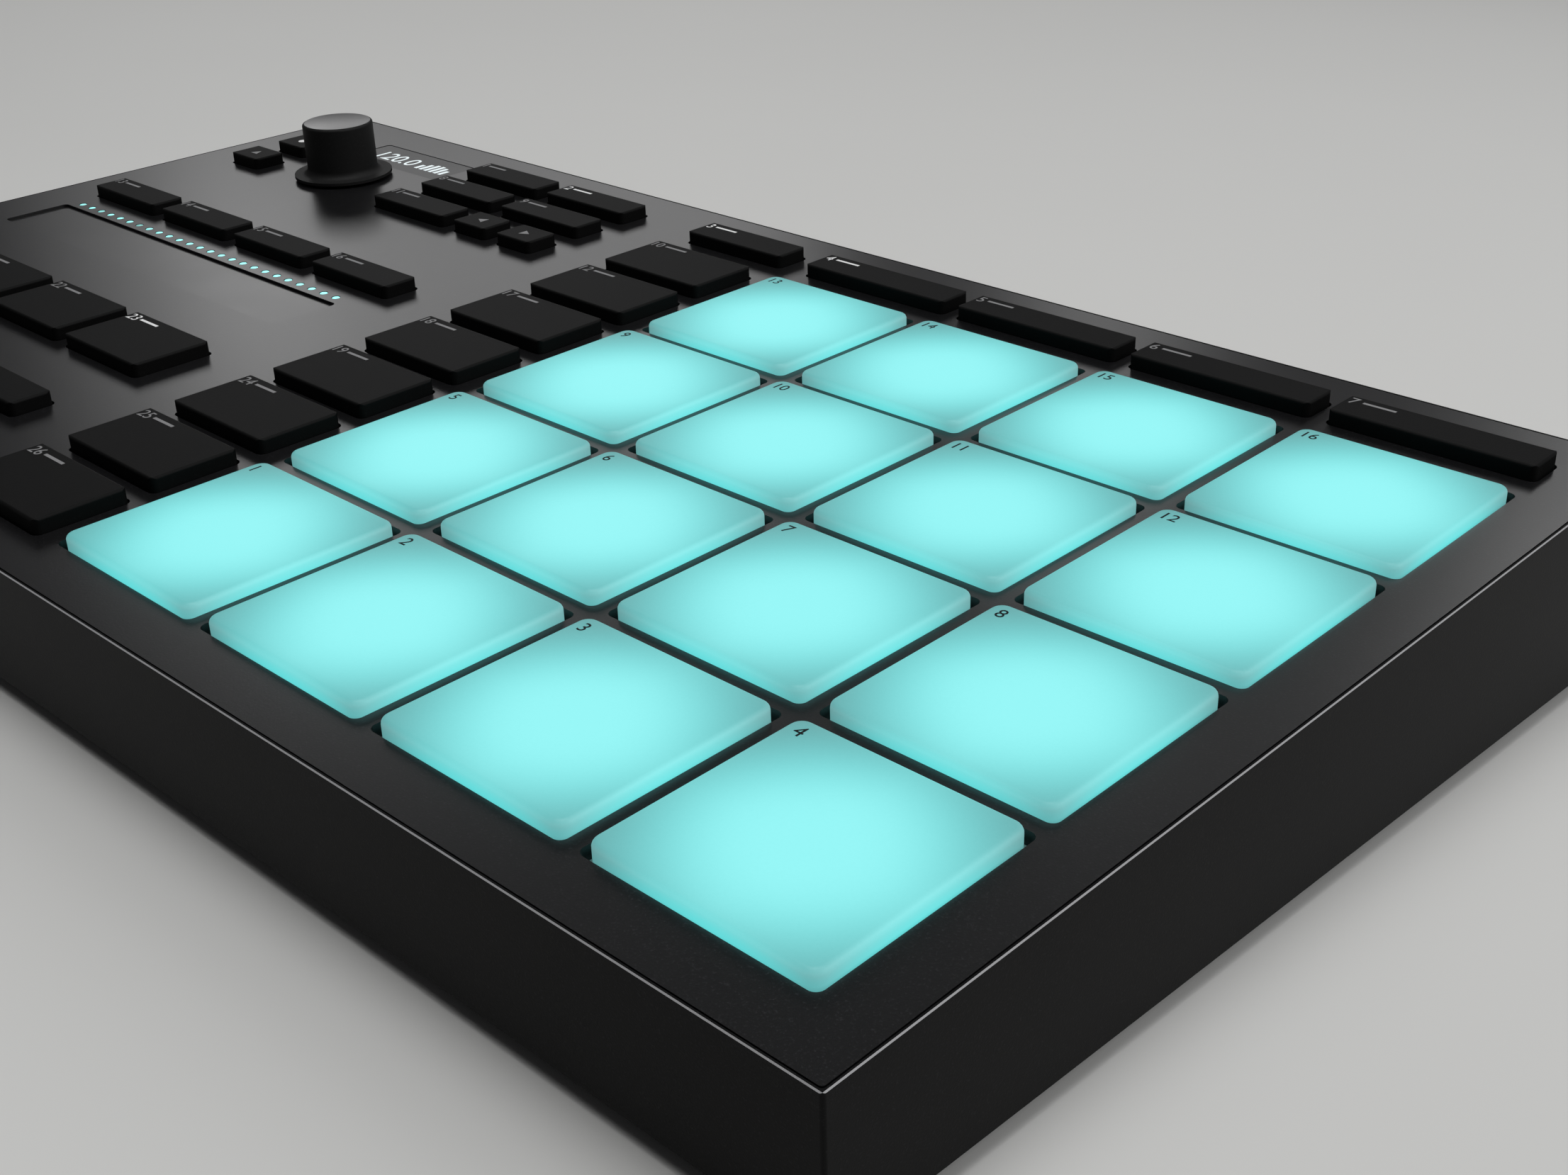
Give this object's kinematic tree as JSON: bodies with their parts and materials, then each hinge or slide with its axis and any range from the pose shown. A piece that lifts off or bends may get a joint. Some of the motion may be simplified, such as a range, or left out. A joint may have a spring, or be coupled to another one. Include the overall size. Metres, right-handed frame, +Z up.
{
  "type": "midi pad controller",
  "caption": "Desktop music pad controller: wedge case with a grid of lit soft pads, rows of press keys, a push-and-turn knob, a touch strip with lights and a small display.",
  "frame": {"origin": "middle of the object's outline seen from above, on the desk plane under the feet", "axes": "+X along the long side to the right as played, +Y from front to rear, +Z up from the desk"},
  "size_m": [0.32, 0.1786, 0.0449],
  "materials": {
    "panel_plastic": "moulded, fine matte grain",
    "case_plastic": "moulded, fine matte grain, thin bright chamfer along the upper edge",
    "base_plastic": "moulded, plain matte",
    "screw_steel": "blackened steel",
    "foot_rubber": "soft matte rubber",
    "circuit_board": "solder mask",
    "sensor_film": "printed film",
    "display_glass": "dark glossy window",
    "strip_plastic": "smooth matte touch surface",
    "socket_steel": "plated sheet steel",
    "shaft_metal": "turned",
    "knob_plastic": "smooth satin",
    "key_plastic": "soft matte coating",
    "pad_silicone": "frosted translucent silicone, lit from below"
  },
  "bodies": {
    "case": {"top_panel": "panel_plastic", "case_frame": "case_plastic", "base_cover": "base_plastic", "case_screws": "screw_steel", "rubber_feet": "foot_rubber", "main_board": "circuit_board", "pad_sensor_sheet": "sensor_film", "display": "display_glass", "touch_strip": "strip_plastic", "usb_socket": "socket_steel"},
    "encoder_shaft": {"encoder_shaft": "shaft_metal"},
    "knob": {"knob": "knob_plastic"},
    "transport_keys": {"transport_keys": "key_plastic"},
    "mute_key": {"mute_key": "key_plastic"},
    "solo_key": {"solo_key": "key_plastic"},
    "select_key": {"select_key": "key_plastic"},
    "duplicate_key": {"duplicate_key": "key_plastic"},
    "variation_key": {"variation_key": "key_plastic"},
    "events_key": {"events_key": "key_plastic"},
    "pattern_key": {"pattern_key": "key_plastic"},
    "scene_key": {"scene_key": "key_plastic"},
    "fixed_velocity_key": {"fixed_velocity_key": "key_plastic"},
    "pad_mode_key": {"pad_mode_key": "key_plastic"},
    "keyboard_key": {"keyboard_key": "key_plastic"},
    "chords_key": {"chords_key": "key_plastic"},
    "step_key": {"step_key": "key_plastic"},
    "volume_key": {"volume_key": "key_plastic"},
    "swing_key": {"swing_key": "key_plastic"},
    "tempo_key": {"tempo_key": "key_plastic"},
    "plugin_key": {"plugin_key": "key_plastic"},
    "sampling_key": {"sampling_key": "key_plastic"},
    "left_arrow_key": {"left_arrow_key": "key_plastic"},
    "right_arrow_key": {"right_arrow_key": "key_plastic"},
    "search_key": {"search_key": "key_plastic"},
    "favourite_key": {"favourite_key": "key_plastic"},
    "home_key": {"home_key": "key_plastic"},
    "pitch_key": {"pitch_key": "key_plastic"},
    "mod_key": {"mod_key": "key_plastic"},
    "perform_key": {"perform_key": "key_plastic"},
    "notes_key": {"notes_key": "key_plastic"},
    "group_key": {"group_key": "key_plastic"},
    "auto_key": {"auto_key": "key_plastic"},
    "lock_key": {"lock_key": "key_plastic"},
    "note_repeat_key": {"note_repeat_key": "key_plastic"},
    "pad_1": {"pad_1": "pad_silicone"},
    "pad_2": {"pad_2": "pad_silicone"},
    "pad_3": {"pad_3": "pad_silicone"},
    "pad_4": {"pad_4": "pad_silicone"},
    "pad_5": {"pad_5": "pad_silicone"},
    "pad_6": {"pad_6": "pad_silicone"},
    "pad_7": {"pad_7": "pad_silicone"},
    "pad_8": {"pad_8": "pad_silicone"},
    "pad_9": {"pad_9": "pad_silicone"},
    "pad_10": {"pad_10": "pad_silicone"},
    "pad_11": {"pad_11": "pad_silicone"},
    "pad_12": {"pad_12": "pad_silicone"},
    "pad_13": {"pad_13": "pad_silicone"},
    "pad_14": {"pad_14": "pad_silicone"},
    "pad_15": {"pad_15": "pad_silicone"},
    "pad_16": {"pad_16": "pad_silicone"}
  },
  "joints": [
    {"name": "knob_turn", "type": "hinge", "parent": "encoder_shaft", "child": "knob", "pos_m": [-0.1174, 0.05398, 0.03824], "axis": [0, -0.0645, 0.9979], "continuous": true},
    {"name": "encoder_push", "type": "slide", "parent": "case", "child": "encoder_shaft", "axis": [0, 0.0645, -0.9979], "range_m": [0, 0.0004], "stiffness_N_per_m": 800, "springref_m": -0.0005},
    {"name": "transport_keys_press", "type": "slide", "parent": "case", "child": "transport_keys", "axis": [0, 0.0645, -0.9979], "range_m": [0, 0.0008], "stiffness_N_per_m": 1600, "springref_m": -0.0004},
    {"name": "pad_1_press", "type": "slide", "parent": "case", "child": "pad_1", "axis": [0, 0.0645, -0.9979], "range_m": [0, 0.0008], "stiffness_N_per_m": 2500, "springref_m": -0.0003},
    {"name": "pad_2_press", "type": "slide", "parent": "case", "child": "pad_2", "axis": [0, 0.0645, -0.9979], "range_m": [0, 0.0008], "stiffness_N_per_m": 2500, "springref_m": -0.0003},
    {"name": "pad_3_press", "type": "slide", "parent": "case", "child": "pad_3", "axis": [0, 0.0645, -0.9979], "range_m": [0, 0.0008], "stiffness_N_per_m": 2500, "springref_m": -0.0003},
    {"name": "pad_4_press", "type": "slide", "parent": "case", "child": "pad_4", "axis": [0, 0.0645, -0.9979], "range_m": [0, 0.0008], "stiffness_N_per_m": 2500, "springref_m": -0.0003},
    {"name": "pad_5_press", "type": "slide", "parent": "case", "child": "pad_5", "axis": [0, 0.0645, -0.9979], "range_m": [0, 0.0008], "stiffness_N_per_m": 2500, "springref_m": -0.0003},
    {"name": "pad_6_press", "type": "slide", "parent": "case", "child": "pad_6", "axis": [0, 0.0645, -0.9979], "range_m": [0, 0.0008], "stiffness_N_per_m": 2500, "springref_m": -0.0003},
    {"name": "pad_7_press", "type": "slide", "parent": "case", "child": "pad_7", "axis": [0, 0.0645, -0.9979], "range_m": [0, 0.0008], "stiffness_N_per_m": 2500, "springref_m": -0.0003},
    {"name": "pad_8_press", "type": "slide", "parent": "case", "child": "pad_8", "axis": [0, 0.0645, -0.9979], "range_m": [0, 0.0008], "stiffness_N_per_m": 2500, "springref_m": -0.0003},
    {"name": "pad_9_press", "type": "slide", "parent": "case", "child": "pad_9", "axis": [0, 0.0645, -0.9979], "range_m": [0, 0.0008], "stiffness_N_per_m": 2500, "springref_m": -0.0003},
    {"name": "pad_10_press", "type": "slide", "parent": "case", "child": "pad_10", "axis": [0, 0.0645, -0.9979], "range_m": [0, 0.0008], "stiffness_N_per_m": 2500, "springref_m": -0.0003},
    {"name": "pad_11_press", "type": "slide", "parent": "case", "child": "pad_11", "axis": [0, 0.0645, -0.9979], "range_m": [0, 0.0008], "stiffness_N_per_m": 2500, "springref_m": -0.0003},
    {"name": "pad_12_press", "type": "slide", "parent": "case", "child": "pad_12", "axis": [0, 0.0645, -0.9979], "range_m": [0, 0.0008], "stiffness_N_per_m": 2500, "springref_m": -0.0003},
    {"name": "pad_13_press", "type": "slide", "parent": "case", "child": "pad_13", "axis": [0, 0.0645, -0.9979], "range_m": [0, 0.0008], "stiffness_N_per_m": 2500, "springref_m": -0.0003},
    {"name": "pad_14_press", "type": "slide", "parent": "case", "child": "pad_14", "axis": [0, 0.0645, -0.9979], "range_m": [0, 0.0008], "stiffness_N_per_m": 2500, "springref_m": -0.0003},
    {"name": "pad_15_press", "type": "slide", "parent": "case", "child": "pad_15", "axis": [0, 0.0645, -0.9979], "range_m": [0, 0.0008], "stiffness_N_per_m": 2500, "springref_m": -0.0003},
    {"name": "pad_16_press", "type": "slide", "parent": "case", "child": "pad_16", "axis": [0, 0.0645, -0.9979], "range_m": [0, 0.0008], "stiffness_N_per_m": 2500, "springref_m": -0.0003},
    {"name": "mute_key_press", "type": "slide", "parent": "case", "child": "mute_key", "axis": [0, 0.0645, -0.9979], "range_m": [0, 0.0008], "stiffness_N_per_m": 400, "springref_m": -0.0004},
    {"name": "solo_key_press", "type": "slide", "parent": "case", "child": "solo_key", "axis": [0, 0.0645, -0.9979], "range_m": [0, 0.0008], "stiffness_N_per_m": 400, "springref_m": -0.0004},
    {"name": "select_key_press", "type": "slide", "parent": "case", "child": "select_key", "axis": [0, 0.0645, -0.9979], "range_m": [0, 0.0008], "stiffness_N_per_m": 400, "springref_m": -0.0004},
    {"name": "duplicate_key_press", "type": "slide", "parent": "case", "child": "duplicate_key", "axis": [0, 0.0645, -0.9979], "range_m": [0, 0.0008], "stiffness_N_per_m": 400, "springref_m": -0.0004},
    {"name": "variation_key_press", "type": "slide", "parent": "case", "child": "variation_key", "axis": [0, 0.0645, -0.9979], "range_m": [0, 0.0008], "stiffness_N_per_m": 400, "springref_m": -0.0004},
    {"name": "events_key_press", "type": "slide", "parent": "case", "child": "events_key", "axis": [0, 0.0645, -0.9979], "range_m": [0, 0.0008], "stiffness_N_per_m": 400, "springref_m": -0.0004},
    {"name": "pattern_key_press", "type": "slide", "parent": "case", "child": "pattern_key", "axis": [0, 0.0645, -0.9979], "range_m": [0, 0.0008], "stiffness_N_per_m": 400, "springref_m": -0.0004},
    {"name": "scene_key_press", "type": "slide", "parent": "case", "child": "scene_key", "axis": [0, 0.0645, -0.9979], "range_m": [0, 0.0008], "stiffness_N_per_m": 400, "springref_m": -0.0004},
    {"name": "fixed_velocity_key_press", "type": "slide", "parent": "case", "child": "fixed_velocity_key", "axis": [0, 0.0645, -0.9979], "range_m": [0, 0.0008], "stiffness_N_per_m": 400, "springref_m": -0.0004},
    {"name": "pad_mode_key_press", "type": "slide", "parent": "case", "child": "pad_mode_key", "axis": [0, 0.0645, -0.9979], "range_m": [0, 0.0008], "stiffness_N_per_m": 400, "springref_m": -0.0004},
    {"name": "keyboard_key_press", "type": "slide", "parent": "case", "child": "keyboard_key", "axis": [0, 0.0645, -0.9979], "range_m": [0, 0.0008], "stiffness_N_per_m": 400, "springref_m": -0.0004},
    {"name": "chords_key_press", "type": "slide", "parent": "case", "child": "chords_key", "axis": [0, 0.0645, -0.9979], "range_m": [0, 0.0008], "stiffness_N_per_m": 400, "springref_m": -0.0004},
    {"name": "step_key_press", "type": "slide", "parent": "case", "child": "step_key", "axis": [0, 0.0645, -0.9979], "range_m": [0, 0.0008], "stiffness_N_per_m": 400, "springref_m": -0.0004},
    {"name": "volume_key_press", "type": "slide", "parent": "case", "child": "volume_key", "axis": [0, 0.0645, -0.9979], "range_m": [0, 0.0008], "stiffness_N_per_m": 400, "springref_m": -0.0004},
    {"name": "swing_key_press", "type": "slide", "parent": "case", "child": "swing_key", "axis": [0, 0.0645, -0.9979], "range_m": [0, 0.0008], "stiffness_N_per_m": 400, "springref_m": -0.0004},
    {"name": "tempo_key_press", "type": "slide", "parent": "case", "child": "tempo_key", "axis": [0, 0.0645, -0.9979], "range_m": [0, 0.0008], "stiffness_N_per_m": 400, "springref_m": -0.0004},
    {"name": "plugin_key_press", "type": "slide", "parent": "case", "child": "plugin_key", "axis": [0, 0.0645, -0.9979], "range_m": [0, 0.0008], "stiffness_N_per_m": 400, "springref_m": -0.0004},
    {"name": "sampling_key_press", "type": "slide", "parent": "case", "child": "sampling_key", "axis": [0, 0.0645, -0.9979], "range_m": [0, 0.0008], "stiffness_N_per_m": 400, "springref_m": -0.0004},
    {"name": "left_arrow_key_press", "type": "slide", "parent": "case", "child": "left_arrow_key", "axis": [0, 0.0645, -0.9979], "range_m": [0, 0.0008], "stiffness_N_per_m": 400, "springref_m": -0.0004},
    {"name": "right_arrow_key_press", "type": "slide", "parent": "case", "child": "right_arrow_key", "axis": [0, 0.0645, -0.9979], "range_m": [0, 0.0008], "stiffness_N_per_m": 400, "springref_m": -0.0004},
    {"name": "search_key_press", "type": "slide", "parent": "case", "child": "search_key", "axis": [0, 0.0645, -0.9979], "range_m": [0, 0.0008], "stiffness_N_per_m": 400, "springref_m": -0.0004},
    {"name": "favourite_key_press", "type": "slide", "parent": "case", "child": "favourite_key", "axis": [0, 0.0645, -0.9979], "range_m": [0, 0.0008], "stiffness_N_per_m": 400, "springref_m": -0.0004},
    {"name": "home_key_press", "type": "slide", "parent": "case", "child": "home_key", "axis": [0, 0.0645, -0.9979], "range_m": [0, 0.0008], "stiffness_N_per_m": 400, "springref_m": -0.0004},
    {"name": "pitch_key_press", "type": "slide", "parent": "case", "child": "pitch_key", "axis": [0, 0.0645, -0.9979], "range_m": [0, 0.0008], "stiffness_N_per_m": 400, "springref_m": -0.0004},
    {"name": "mod_key_press", "type": "slide", "parent": "case", "child": "mod_key", "axis": [0, 0.0645, -0.9979], "range_m": [0, 0.0008], "stiffness_N_per_m": 400, "springref_m": -0.0004},
    {"name": "perform_key_press", "type": "slide", "parent": "case", "child": "perform_key", "axis": [0, 0.0645, -0.9979], "range_m": [0, 0.0008], "stiffness_N_per_m": 400, "springref_m": -0.0004},
    {"name": "notes_key_press", "type": "slide", "parent": "case", "child": "notes_key", "axis": [0, 0.0645, -0.9979], "range_m": [0, 0.0008], "stiffness_N_per_m": 400, "springref_m": -0.0004},
    {"name": "group_key_press", "type": "slide", "parent": "case", "child": "group_key", "axis": [0, 0.0645, -0.9979], "range_m": [0, 0.0008], "stiffness_N_per_m": 400, "springref_m": -0.0004},
    {"name": "auto_key_press", "type": "slide", "parent": "case", "child": "auto_key", "axis": [0, 0.0645, -0.9979], "range_m": [0, 0.0008], "stiffness_N_per_m": 400, "springref_m": -0.0004},
    {"name": "lock_key_press", "type": "slide", "parent": "case", "child": "lock_key", "axis": [0, 0.0645, -0.9979], "range_m": [0, 0.0008], "stiffness_N_per_m": 400, "springref_m": -0.0004},
    {"name": "note_repeat_key_press", "type": "slide", "parent": "case", "child": "note_repeat_key", "axis": [0, 0.0645, -0.9979], "range_m": [0, 0.0008], "stiffness_N_per_m": 400, "springref_m": -0.0004}
  ]
}
